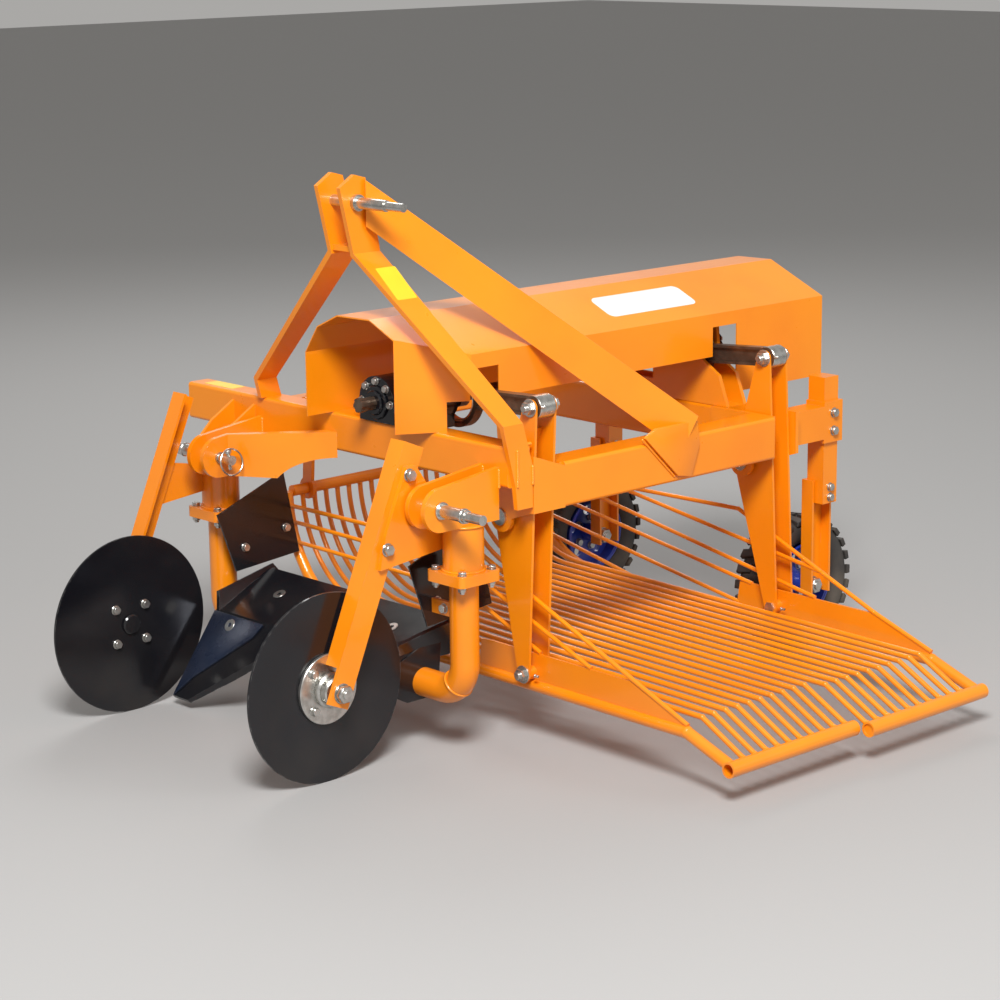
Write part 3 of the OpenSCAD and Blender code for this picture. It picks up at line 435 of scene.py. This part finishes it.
# Each arm's place along the machine, its lean at rest in degrees, and the side of its lower pin
# that has no thread end.
arms = {"front": (276, 2.75, 1), "rear": (1050, -2.75, -1)}
thread_pattern = join_all([add_round(40, 0, washer_thick),
                           add_round(17, 10, 20, sides=24, edge=1.5)], "thread_pattern")
nipple_pattern = join_all([add_round(9, 0, 4, sides=6),
                           add_round(5, 3, 12, sides=12, edge=1),
                           add_round(7, 9, 12, sides=12, edge=1)], "nipple_pattern")


def arm_place(lift, lean):
    """Place of a pin of the arm that stands lift above the pivot, when the arm leans."""
    turn = math.radians(lean)
    x = arm_pivot[0] + pin_offset * math.cos(turn) + lift * math.sin(turn)
    z = arm_pivot[1] + lift * math.cos(turn) - pin_offset * math.sin(turn)
    return x, z


for end, (arm_y, lean, blind_side) in arms.items():
    top_x, top_z = arm_place(arm_reach_up, lean)
    foot_x, foot_z = arm_place(-arm_reach_down, lean)
    put_copies(f"{end}_arm_washers", f"{end}_arm", thread_pattern,
               [(top_x, arm_y + s * arm_half, top_z, (0, s, 0), 1) for s in (-1, 1)]
               + [(foot_x, arm_y - blind_side * arm_half, foot_z, (0, -blind_side, 0), 1)])
    put_copies(f"{end}_arm_nipples", f"{end}_arm", nipple_pattern,
               [(top_x + nipple_out, arm_y - nipple_ahead, top_z + nipple_rise, (1, 0, 0.2), 1),
                (foot_x + nipple_out, arm_y - nipple_ahead, foot_z, to_near, 1)])

    # A ground steel sleeve fills the fork between the flanges, on the connecting rod's eye.
    sleeve = add_round(52, -fork_half, fork_half, sides=64, edge=1)
    put(sleeve, (top_x, arm_y, top_z), turn_to(to_rear))
    dress(sleeve, f"{end}_rod_sleeve", f"{end}_conrod", zinc_plate)


# Disc coulters: each plain steel disc is bolted to a zinc hub flange that turns on the axle. The
# axle's big nut with its washer is on the arm's foot.
def bolt_circle(radius, angles):
    turns = [math.radians(angle) for angle in angles]
    return [(math.cos(turn) * radius, math.sin(turn) * radius) for turn in turns]


disc_front = -214
disc_up = 205
disc_half = 2.6
hub_circle = 57
outer_seat = 11
inner_seat = 2.5
# The disc's middle, the side its arm is on, and the outer face of the arm.
discs = {"near": (279, 1, 333.5), "far": (-426, -1, -480.5)}
for side, (disc_x, out, arm_face) in discs.items():
    outward = (out, 0, 0)
    inward = (-out, 0, 0)
    hub = join_all([add_round(152, 0, 9, sides=64, edge=1.5),
                    add_round(78, 8, 22, sides=48, edge=4),
                    add_round(68, 20, 40, sides=48, edge=3)], "hub_" + side)
    put(hub, (disc_x + out * disc_half, disc_front, disc_up), turn_to(outward))
    dress(hub, "hub_" + side, side + "_disc", zinc_plate)
    ring = [(disc_front + dy, disc_up + dz)
            for dy, dz in bolt_circle(hub_circle, range(45, 405, 90))]
    put_copies("hub_bolts_" + side, side + "_disc", m10_head,
               [(disc_x + out * outer_seat, y, z, outward, 1) for y, z in ring]
               + [(disc_x - out * inner_seat, y, z, inward, 1) for y, z in ring])
    cap = add_round(46, 0, 8, sides=48, edge=3)
    put(cap, (disc_x - out * disc_half, disc_front, disc_up), turn_to(inward))
    dress(cap, "hub_cap_" + side, side + "_disc", black_paint)
    put_copies("axle_nut_" + side, "frame", axle_nut,
               [(arm_face, disc_front, disc_up, outward, 0.8)])

# Disc arm bolts: large bolts that hold each disc's arm to its plate, in line down the angle iron,
# and are loosened to set the disc's height and tilt.
plate_thick = 10
disc_arm_bolts = {"near": ((-28, 642), (-92, 493)), "far": ((-92, 493),)}
for side, (_, out, arm_face) in discs.items():
    bolt_x = arm_face + out * plate_thick
    put_copies("disc_arm_bolts_" + side, "frame", m10_head,
               [(bolt_x, y, z, (out, 0, 0), 1.3) for y, z in disc_arm_bolts[side]])

# Hitch pin collars: turned and zinc plated rings on each lower pin, one against the lug and one
# before the pin's thin end.
hitch_up = 572
for side, out in (("near", 1), ("far", -1)):
    collars = join_all([add_round(38, 0, 6, sides=48, edge=1.5),
                        add_round(33, 66, 74, sides=48, edge=1.5)], "pin_collars_" + side)
    put(collars, (out * lug_half_span, 0, hitch_up), turn_to((out, 0, 0)))
    dress(collars, "pin_collars_" + side, "frame", zinc_plate)

# Linch pin: a zinc plated spring wire ring on a short pin with a knob, pushed through the far
# lower hitch pin's inner end.
linch_x = -315
linch_tilt = math.radians(8)
ring_radius = 30
wire_radius = 2.2
ring_tilt = math.radians(78)
bpy.ops.mesh.primitive_torus_add(major_segments=64, minor_segments=10,
                                 major_radius=ring_radius * mm, minor_radius=wire_radius * mm,
                                 rotation=(0, ring_tilt, 0), location=(9 * mm, 0, -4 * mm))
wire_ring = active_piece()
apply_places()
linch = join_all([add_round(10, -24, 26, sides=20, edge=1.5),
                  add_round(17, 14, 24, sides=24, edge=3), wire_ring], "linch_pin")
put(linch, (linch_x, 0, hitch_up), Matrix.Rotation(linch_tilt, 4, "X"))
dress(linch, "linch_pin", "frame", zinc_plate)


# Share blades: two pointed blades of blued steel, held by countersunk bolts with hexagon sockets
# on the front of the folded plate, which has its own bolts on the level part.
def cut_plate(outline, thick, edge):
    """A flat plate on the XY plane, cut along an outline, with its edges rounded."""
    bpy.ops.mesh.primitive_circle_add(vertices=len(outline), radius=1, fill_type="NGON")
    plate = active_piece()
    for point, (across, along) in zip(plate.data.vertices, outline):
        point.co = Vector((across, along, 0)) * mm
    select_only(plate)
    bpy.ops.object.mode_set(mode="EDIT")
    bpy.ops.mesh.select_all(action="SELECT")
    bpy.ops.mesh.extrude_region_move(TRANSFORM_OT_translate={"value": (0, 0, thick * mm)})
    bpy.ops.mesh.select_all(action="SELECT")
    bpy.ops.mesh.normals_make_consistent(inside=False)
    bpy.ops.object.mode_set(mode="OBJECT")
    bevel_sharp(plate, edge * mm, segments=2)
    return plate


blued_steel = finish("blued_steel", (0.008, 0.015, 0.036, 1), (0.013, 0.022, 0.048, 1), rough=0.2,
                     metal=0.35, coat=0.1, wear=0.6, under=(0.4, 0.4, 0.4, 1), dirt=0.05, bump=0.1)
share_mid = -73.5
share_front = -129
share_low = 24
blade_slope = math.radians(53.6)
blade_thick = 6
blade_outline = ((-311, 0), (-314, 220), (-132, 220), (-146, 184), (-274, 55))
for side, mirror in (("far", 1), ("near", -1)):
    outline = [(mirror * across, along) for across, along in blade_outline]
    blade = cut_plate(outline, blade_thick, 1.5)
    put(blade, (share_mid, share_front, share_low), Matrix.Rotation(blade_slope, 4, "X"))
    dress(blade, "share_blade_" + side, "frame", blued_steel)

sunk_bolt = add_round(30, -2, 1, sides=40, edge=0.5)
socket_cutter = add_round(13, -1, 3, sides=6, edge=0)
socket_cut = sunk_bolt.modifiers.new("socket", "BOOLEAN")
socket_cut.operation = "DIFFERENCE"
socket_cut.object = socket_cutter
apply_modifier(sunk_bolt, socket_cut)
bolt_along = 196
slope_cos = math.cos(blade_slope)
slope_sin = math.sin(blade_slope)
blade_bolt_y = share_front + bolt_along * slope_cos - blade_thick * slope_sin
blade_bolt_z = share_low + bolt_along * slope_sin + blade_thick * slope_cos
blade_bolts_aside = (-238, 238)
blade_normal = (0, -slope_sin, slope_cos)
level_bolt_y = 100
level_bolt_z = 244.5
level_bolts_aside = (-200, -70, 70, 200)
level_normal = (0, -0.373, 0.928)
put_copies("blade_bolts", "frame", sunk_bolt,
           [(share_mid + dx, blade_bolt_y, blade_bolt_z, blade_normal, 1)
            for dx in blade_bolts_aside]
           + [(share_mid + dx, level_bolt_y, level_bolt_z, level_normal, 1)
              for dx in level_bolts_aside])

# Power take-off stub: oiled steel with six machined splines and a locking groove near the tip.
# It turns in the gear housing, and is shown in place of the CAD's plain stub.
stub_axis = (23, 728)
stub_tip = 104
stub_length = 99
stub_radius = 17.45
tip_end, groove_start, groove_end, spline_end = 5, 22, 29, 54
root_share = 0.84
tip_share = 0.92
tooth_pitch = 60
root_from, root_to = 8, 38
slack = 1e-5
bpy.ops.mesh.primitive_cylinder_add(vertices=72, radius=stub_radius * mm, depth=stub_length * mm,
                                    location=(0, 0, stub_length / 2 * mm))
stub = active_piece()
apply_places()
bpy.ops.object.mode_set(mode="EDIT")
for cut in (tip_end, groove_start, groove_end, spline_end):
    bpy.ops.mesh.select_all(action="SELECT")
    bpy.ops.mesh.bisect(plane_co=(0, 0, cut * mm), plane_no=(0, 0, 1))
bpy.ops.object.mode_set(mode="OBJECT")
for point in stub.data.vertices:
    turned_by = math.degrees(math.atan2(point.co.y, point.co.x)) % tooth_pitch
    groove = groove_start * mm - slack < point.co.z < groove_end * mm + slack
    between_teeth = root_from < turned_by < root_to
    if point.co.z < spline_end * mm + slack:
        shrink = root_share if between_teeth or groove else 1.0
        if point.co.z < slack:
            shrink *= tip_share
        point.co.x *= shrink
        point.co.y *= shrink
put(stub, (stub_axis[0], stub_tip, stub_axis[1]), turn_to(to_rear))
dress(stub, "splined_stub", "stub_shaft", oiled_steel, smooth=25)
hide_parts("stub_shaft")

# Gear housing: a black seal pressed in round the stub, and an arc of zinc plated bolts that
# hold the stub's cover on the housing.
housing_front = 158
cover_circle = 48
seal = join_all([add_round(76, 0, 6, sides=64, edge=2),
                 add_round(56, 5, 12, sides=64, edge=3)], "stub_seal")
put(seal, (stub_axis[0], housing_front, stub_axis[1]), turn_to(to_front))
dress(seal, "stub_seal", "frame", black_paint)
put_copies("cover_bolts", "frame", m10_head,
           [(stub_axis[0] + dx, housing_front, stub_axis[1] + dz, to_front, 0.85)
            for dx, dz in bolt_circle(cover_circle, range(0, 181, 45))])

# Tyres: small farm tyres with two staggered rows of blocks that run over the shoulder. The body
# is a squared ring, and the blocks stand on it up to the tyre's full size.
wheels = {"near": 297, "far": -427}
axle_back = 1254
axle_up = 167
tyre_half = 47.5
wall_half = 46
rim_half = 34
rim_radius = 94
roll_radius = 4
wheel_disc_half = 5
nut_circle = 40
body_radius = 127
body_depth = 32.5
squareness = 0.62
tube_share = 0.2
block_count = 26
block_radius = 160.6
block_aside = 24
block_high, block_long, block_wide = 12, 24, 45
shoulder_drop = 4
shoulder_lead = 9
top_taper = 0.86
for side, wheel_x in wheels.items():
    wheel_place = (wheel_x, axle_back, axle_up)
    bpy.ops.mesh.primitive_torus_add(major_segments=96, minor_segments=32, major_radius=1.0,
                                     minor_radius=tube_share)
    carcass = active_piece()
    for point in carcass.data.vertices:
        px, py, pz = point.co
        reach = math.hypot(px, py)
        out, along = (reach - 1.0) / tube_share, pz / tube_share
        out = math.copysign(abs(out) ** squareness, out)
        along = math.copysign(abs(along) ** squareness, along)
        # The walls draw in by up to 0.3 of their width towards the rim.
        narrow = 1.0 if out > -0.2 else 1.0 - 0.3 * (-out - 0.2) / 0.8
        radius = (body_radius + body_depth * out) * mm
        point.co = Vector((px / reach * radius, py / reach * radius,
                           along * wall_half * narrow * mm))
    blocks = [carcass]
    for i in range(block_count):
        for row in (-1, 1):
            bpy.ops.mesh.primitive_cube_add(size=1)
            block = active_piece()
            block.data.transform(Matrix.Diagonal((block_high * mm, block_long * mm,
                                                  block_wide * mm, 1)))
            for point in block.data.vertices:
                if point.co.z * row > 0:
                    point.co.x -= shoulder_drop * mm
                    point.co.y += shoulder_lead * mm
                if point.co.x > 0:
                    point.co.y *= top_taper
            bevel_sharp(block, 1.2 * mm)
            step = i + (0.5 if row > 0 else 0)
            around = Matrix.Rotation(math.radians(360 / block_count * step), 4, "Z")
            aside = Matrix.Translation((block_radius * mm, 0, row * block_aside * mm))
            block.data.transform(around @ aside)
            blocks.append(block)
    rubber = join_all(blocks, "tyre_tread_" + side)
    put(rubber, wheel_place, turn_to(to_near))
    dress(rubber, "tyre_tread_" + side, side + "_wheel", tyre_rubber, smooth=40)
    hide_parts("tyre_" + side)

    # The blue rim's rolled edges, and the wheel nuts on both sides of the rim's disc.
    edges = []
    for offset in (-rim_half, rim_half):
        bpy.ops.mesh.primitive_torus_add(major_segments=96, minor_segments=10,
                                         major_radius=rim_radius * mm,
                                         minor_radius=roll_radius * mm,
                                         location=(0, 0, offset * mm))
        edges.append(active_piece())
        apply_places()
    rolled = join_all(edges, "rim_edges_" + side)
    put(rolled, wheel_place, turn_to(to_near))
    dress(rolled, "rim_edges_" + side, side + "_wheel", blue_paint)
    put_copies("wheel_nuts_" + side, side + "_wheel", m10_head,
               [(wheel_x + s * wheel_disc_half, axle_back + dy, axle_up + dz, (s, 0, 0), 1)
                for dy, dz in bolt_circle(nut_circle, range(0, 360, 72)) for s in (-1, 1)])

# Rear bearing: a cast flange unit with a closed cap, in black enamel, bolted by its four corners
# to the plate under the hood's end.
shaft_axis = (155, 744)
plate_back = 1085
flange_thick = 13
bearing_bolt_out = 31
flange = add_round(124, 0, flange_thick, sides=4, edge=4)
flange.data.transform(Matrix.Rotation(math.radians(45), 4, "Z"))
housing = join_all([flange, add_round(76, 12, 30, sides=64, edge=4),
                    add_round(40, 29, 33, sides=48, edge=1.5)], "rear_bearing")
put(housing, (shaft_axis[0], plate_back, shaft_axis[1]), turn_to(to_rear))
dress(housing, "rear_bearing", "frame", black_paint)
put_copies("bearing_bolts", "frame", m10_head,
           [(shaft_axis[0] + dx, plate_back + flange_thick, shaft_axis[1] + dz, to_rear, 0.8)
            for dx in (-bearing_bolt_out, bearing_bolt_out)
            for dz in (-bearing_bolt_out, bearing_bolt_out)])

# Brace foot: a flat steel plate, painted with the frame and welded to the outer face of the side
# beam, under the end of the brace.
foot_outline = ((-66, 16), (39, -84), (83, -92), (109, -22), (102, 33), (-30, 33))
foot_thick = 10
foot_place = (450.5, 628, 632)
brace_foot = cut_plate(foot_outline, foot_thick, 0.8)
put(brace_foot, foot_place, Matrix(((0, 0, 1), (1, 0, 0), (0, 1, 0))).to_4x4())
dress(brace_foot, "brace_foot", "frame", orange_paint)

# Eccentric bearings: a ground steel race in each connecting rod's ring, as wide as the ring,
# that moves with the rod.
race_radius = 54
race_half = 6
race_stretch = 1.9
for end, (arm_y, lean, _) in arms.items():
    throw = arm_reach_up * math.sin(math.radians(lean))
    bpy.ops.mesh.primitive_torus_add(major_segments=96, minor_segments=8,
                                     major_radius=race_radius * mm, minor_radius=race_half * mm)
    race = active_piece()
    race.data.transform(Matrix.Diagonal((1, 1, race_stretch, 1)))
    put(race, (shaft_axis[0] + throw, arm_y, shaft_axis[1]), turn_to(to_rear))
    dress(race, end + "_bearing_race", end + "_conrod", zinc_plate, smooth=50)

# Wheel stands: the axle's nut on the channel's web, the bolts that clamp the post in its sleeve
# and hold the channel, and a black dust cap on the hub's other side.
tyre_gap = 7
web_out = 8
channel_out = 58
sleeve_out = 66
channel_bolts_up = (395, 420)
sleeve_bolts_up = (560, 604)
for side, wheel_x in wheels.items():
    stand_x = wheel_x + tyre_half + tyre_gap
    put_copies("wheel_axle_nut_" + side, "frame", axle_nut,
               [(stand_x + web_out, axle_back, axle_up, to_near, 0.8)])
    put_copies("post_bolts_" + side, "frame", m16_head,
               [(stand_x + sleeve_out, axle_back, z, to_near, 0.8) for z in sleeve_bolts_up]
               + [(stand_x + channel_out, axle_back, z, to_near, 0.7) for z in channel_bolts_up])
    dust_cap = join_all([add_round(46, 0, 5, sides=48, edge=1),
                         add_round(38, 4, 12, sides=48, edge=4)], "dust_cap")
    put(dust_cap, (wheel_x - rim_half, axle_back, axle_up), turn_to(to_far))
    dress(dust_cap, "dust_cap_" + side, side + "_wheel", black_paint)

# Welds: rippled beads where tubes and plates meet, painted over with the frame. Round ones run
# round a tube, and straight ones lie along a corner.
beads = []
ripple = 0.8
bead_pitch = 0.45


def ring_weld(x, y, z, axis, diameter, size=7):
    bpy.ops.mesh.primitive_torus_add(major_segments=120, minor_segments=8,
                                     major_radius=diameter / 2 * mm, minor_radius=size / 2 * mm)
    bead = active_piece()
    for i, point in enumerate(bead.data.vertices):
        if (i // 8) % 2:
            centre = Vector((point.co.x, point.co.y, 0)).normalized() * diameter / 2 * mm
            point.co = centre + (point.co - centre) * ripple
    put(bead, (x, y, z), turn_to(axis))
    beads.append(bead)


def bead_row(place, size, segments, rings, count, step):
    """A row of small spheres from a place in metres, each one step on."""
    bpy.ops.mesh.primitive_uv_sphere_add(segments=segments, ring_count=rings, radius=size / 2 * mm,
                                         location=place)
    bead = active_piece()
    row = bead.modifiers.new("row", "ARRAY")
    row.count = count
    row.use_relative_offset = False
    row.use_constant_offset = True
    row.constant_offset_displace = step
    apply_modifier(bead, row)
    apply_places()
    return bead


def straight_weld(start, end, size=8):
    start, end = at(*start), at(*end)
    run = end - start
    pitch = size * bead_pitch * mm
    count = max(2, int(run.length / pitch))
    beads.append(bead_row(start, size, 10, 6, count, run.normalized() * pitch))


# Round the legs: above and below the flanges, at the foot's elbow, and at the top under the
# plates that hold the leg.
upper_tube = 90
lower_tube = 65
leg_top = 524
elbow_up = 168
elbow_aside = 22
for side, leg_x in legs.items():
    inward = -1 if leg_x > 0 else 1
    ring_weld(leg_x, leg_back, flange_high + 1, to_sky, upper_tube)
    ring_weld(leg_x, leg_back, flange_low - 1, to_sky, lower_tube)
    ring_weld(leg_x + inward * elbow_aside, leg_back, elbow_up, (1, 0, -inward), lower_tube, 6)
    ring_weld(leg_x, leg_back, leg_top, to_sky, upper_tube)

# Along corners: the hitch lugs' plates on the front beam, the near mast bar's foot on the beam's
# top, the brace's foot, and the two edges of the mast bar's foot.
beam_front = 164
beam_under = 596
beam_over = 684
lug_faces = (412.5, 400.5, 362.5, 350.5, -412.5, -400.5)
lug_weld_top = 638
for lug_x in lug_faces:
    straight_weld((lug_x, beam_front, beam_under), (lug_x, beam_front, lug_weld_top))
straight_weld((438, 232, beam_over), (438, 176, beam_over))
straight_weld((452, 560, 644), (452, 664, 545), 6)
straight_weld((451, 182, 600), (451, 182, 680))
straight_weld((451, 226, 600), (451, 226, 640))
dress(join_all(beads, "frame_welds"), "frame_welds", "frame", orange_paint,
      smooth=60)

# Round the ends of each sieve's rods, on its outlet tube and on its upper tube on the far side.
rod_count = 10
rod_pitch = 36
first_rod_in = 45
far_tube = (-455, 417, 14)
for body, arm_y, s, outlet_x in (("front_sieve", 276, 1, 985), ("rear_sieve", 1050, -1, 1015)):
    blobs = [bead_row(at(tube_x, arm_y + s * first_rod_in, tube_z), size, 14, 8, rod_count,
                      (0, s * rod_pitch * mm, 0))
             for tube_x, tube_z, size in ((outlet_x - 14, 88, 15), far_tube)]
    dress(join_all(blobs, body + "_welds"), body + "_welds", body, orange_paint,
          smooth=60)

# Blank stickers: plain vinyl with rounded corners, where the maker's own would be. Yellow on
# the mast and the front beam, white on the hood's side.
yellow_vinyl = finish("yellow_vinyl", (0.85, 0.55, 0.02, 1), (0.78, 0.48, 0.02, 1), rough=0.35,
                      dirt=0.15, bump=0.01)
white_vinyl = finish("white_vinyl", (0.72, 0.72, 0.70, 1), (0.66, 0.66, 0.63, 1), rough=0.35,
                     dirt=0.15, bump=0.01)
film_thick = 1.0


def sticker(name, centre, across, upward, width, tall, corner_radius, material):
    bpy.ops.mesh.primitive_plane_add(size=1)
    sheet = active_piece()
    sheet.data.transform(Matrix.Diagonal((width * mm, tall * mm, 1, 1)))
    bpy.ops.object.mode_set(mode="EDIT")
    bpy.ops.mesh.select_all(action="SELECT")
    bpy.ops.mesh.bevel(offset=corner_radius * mm, segments=6, affect="VERTICES")
    bpy.ops.object.mode_set(mode="OBJECT")
    film = sheet.modifiers.new("film", "SOLIDIFY")
    film.thickness = film_thick * mm
    film.offset = 0
    apply_modifier(sheet, film)
    across = Vector(across).normalized()
    upward = Vector(upward).normalized()
    put(sheet, centre, Matrix((across, upward, across.cross(upward))).transposed().to_4x4())
    dress(sheet, name, "frame", material)


sticker("hood_blank_sticker", (165, 862, 890), (0, 1, 0), (-0.913, 0, 0.408), 290, 84, 18,
        white_vinyl)
sticker("mast_blank_sticker", (124, 136, 1006), (0, 1, 0), (-0.768, 0, 0.640), 56, 96, 4,
        yellow_vinyl)
sticker("beam_blank_sticker", (-590, 200, 684), (1, 0, 0), (0, 1, 0), 110, 40, 4, yellow_vinyl)

# The patterns that were copied, and the tool that cut the sockets, are no part of the machine.
for old in (m16_nut, m16_head, m10_head, axle_nut, thread_pattern, nipple_pattern, sunk_bolt,
            socket_cutter):
    bpy.data.objects.remove(old)
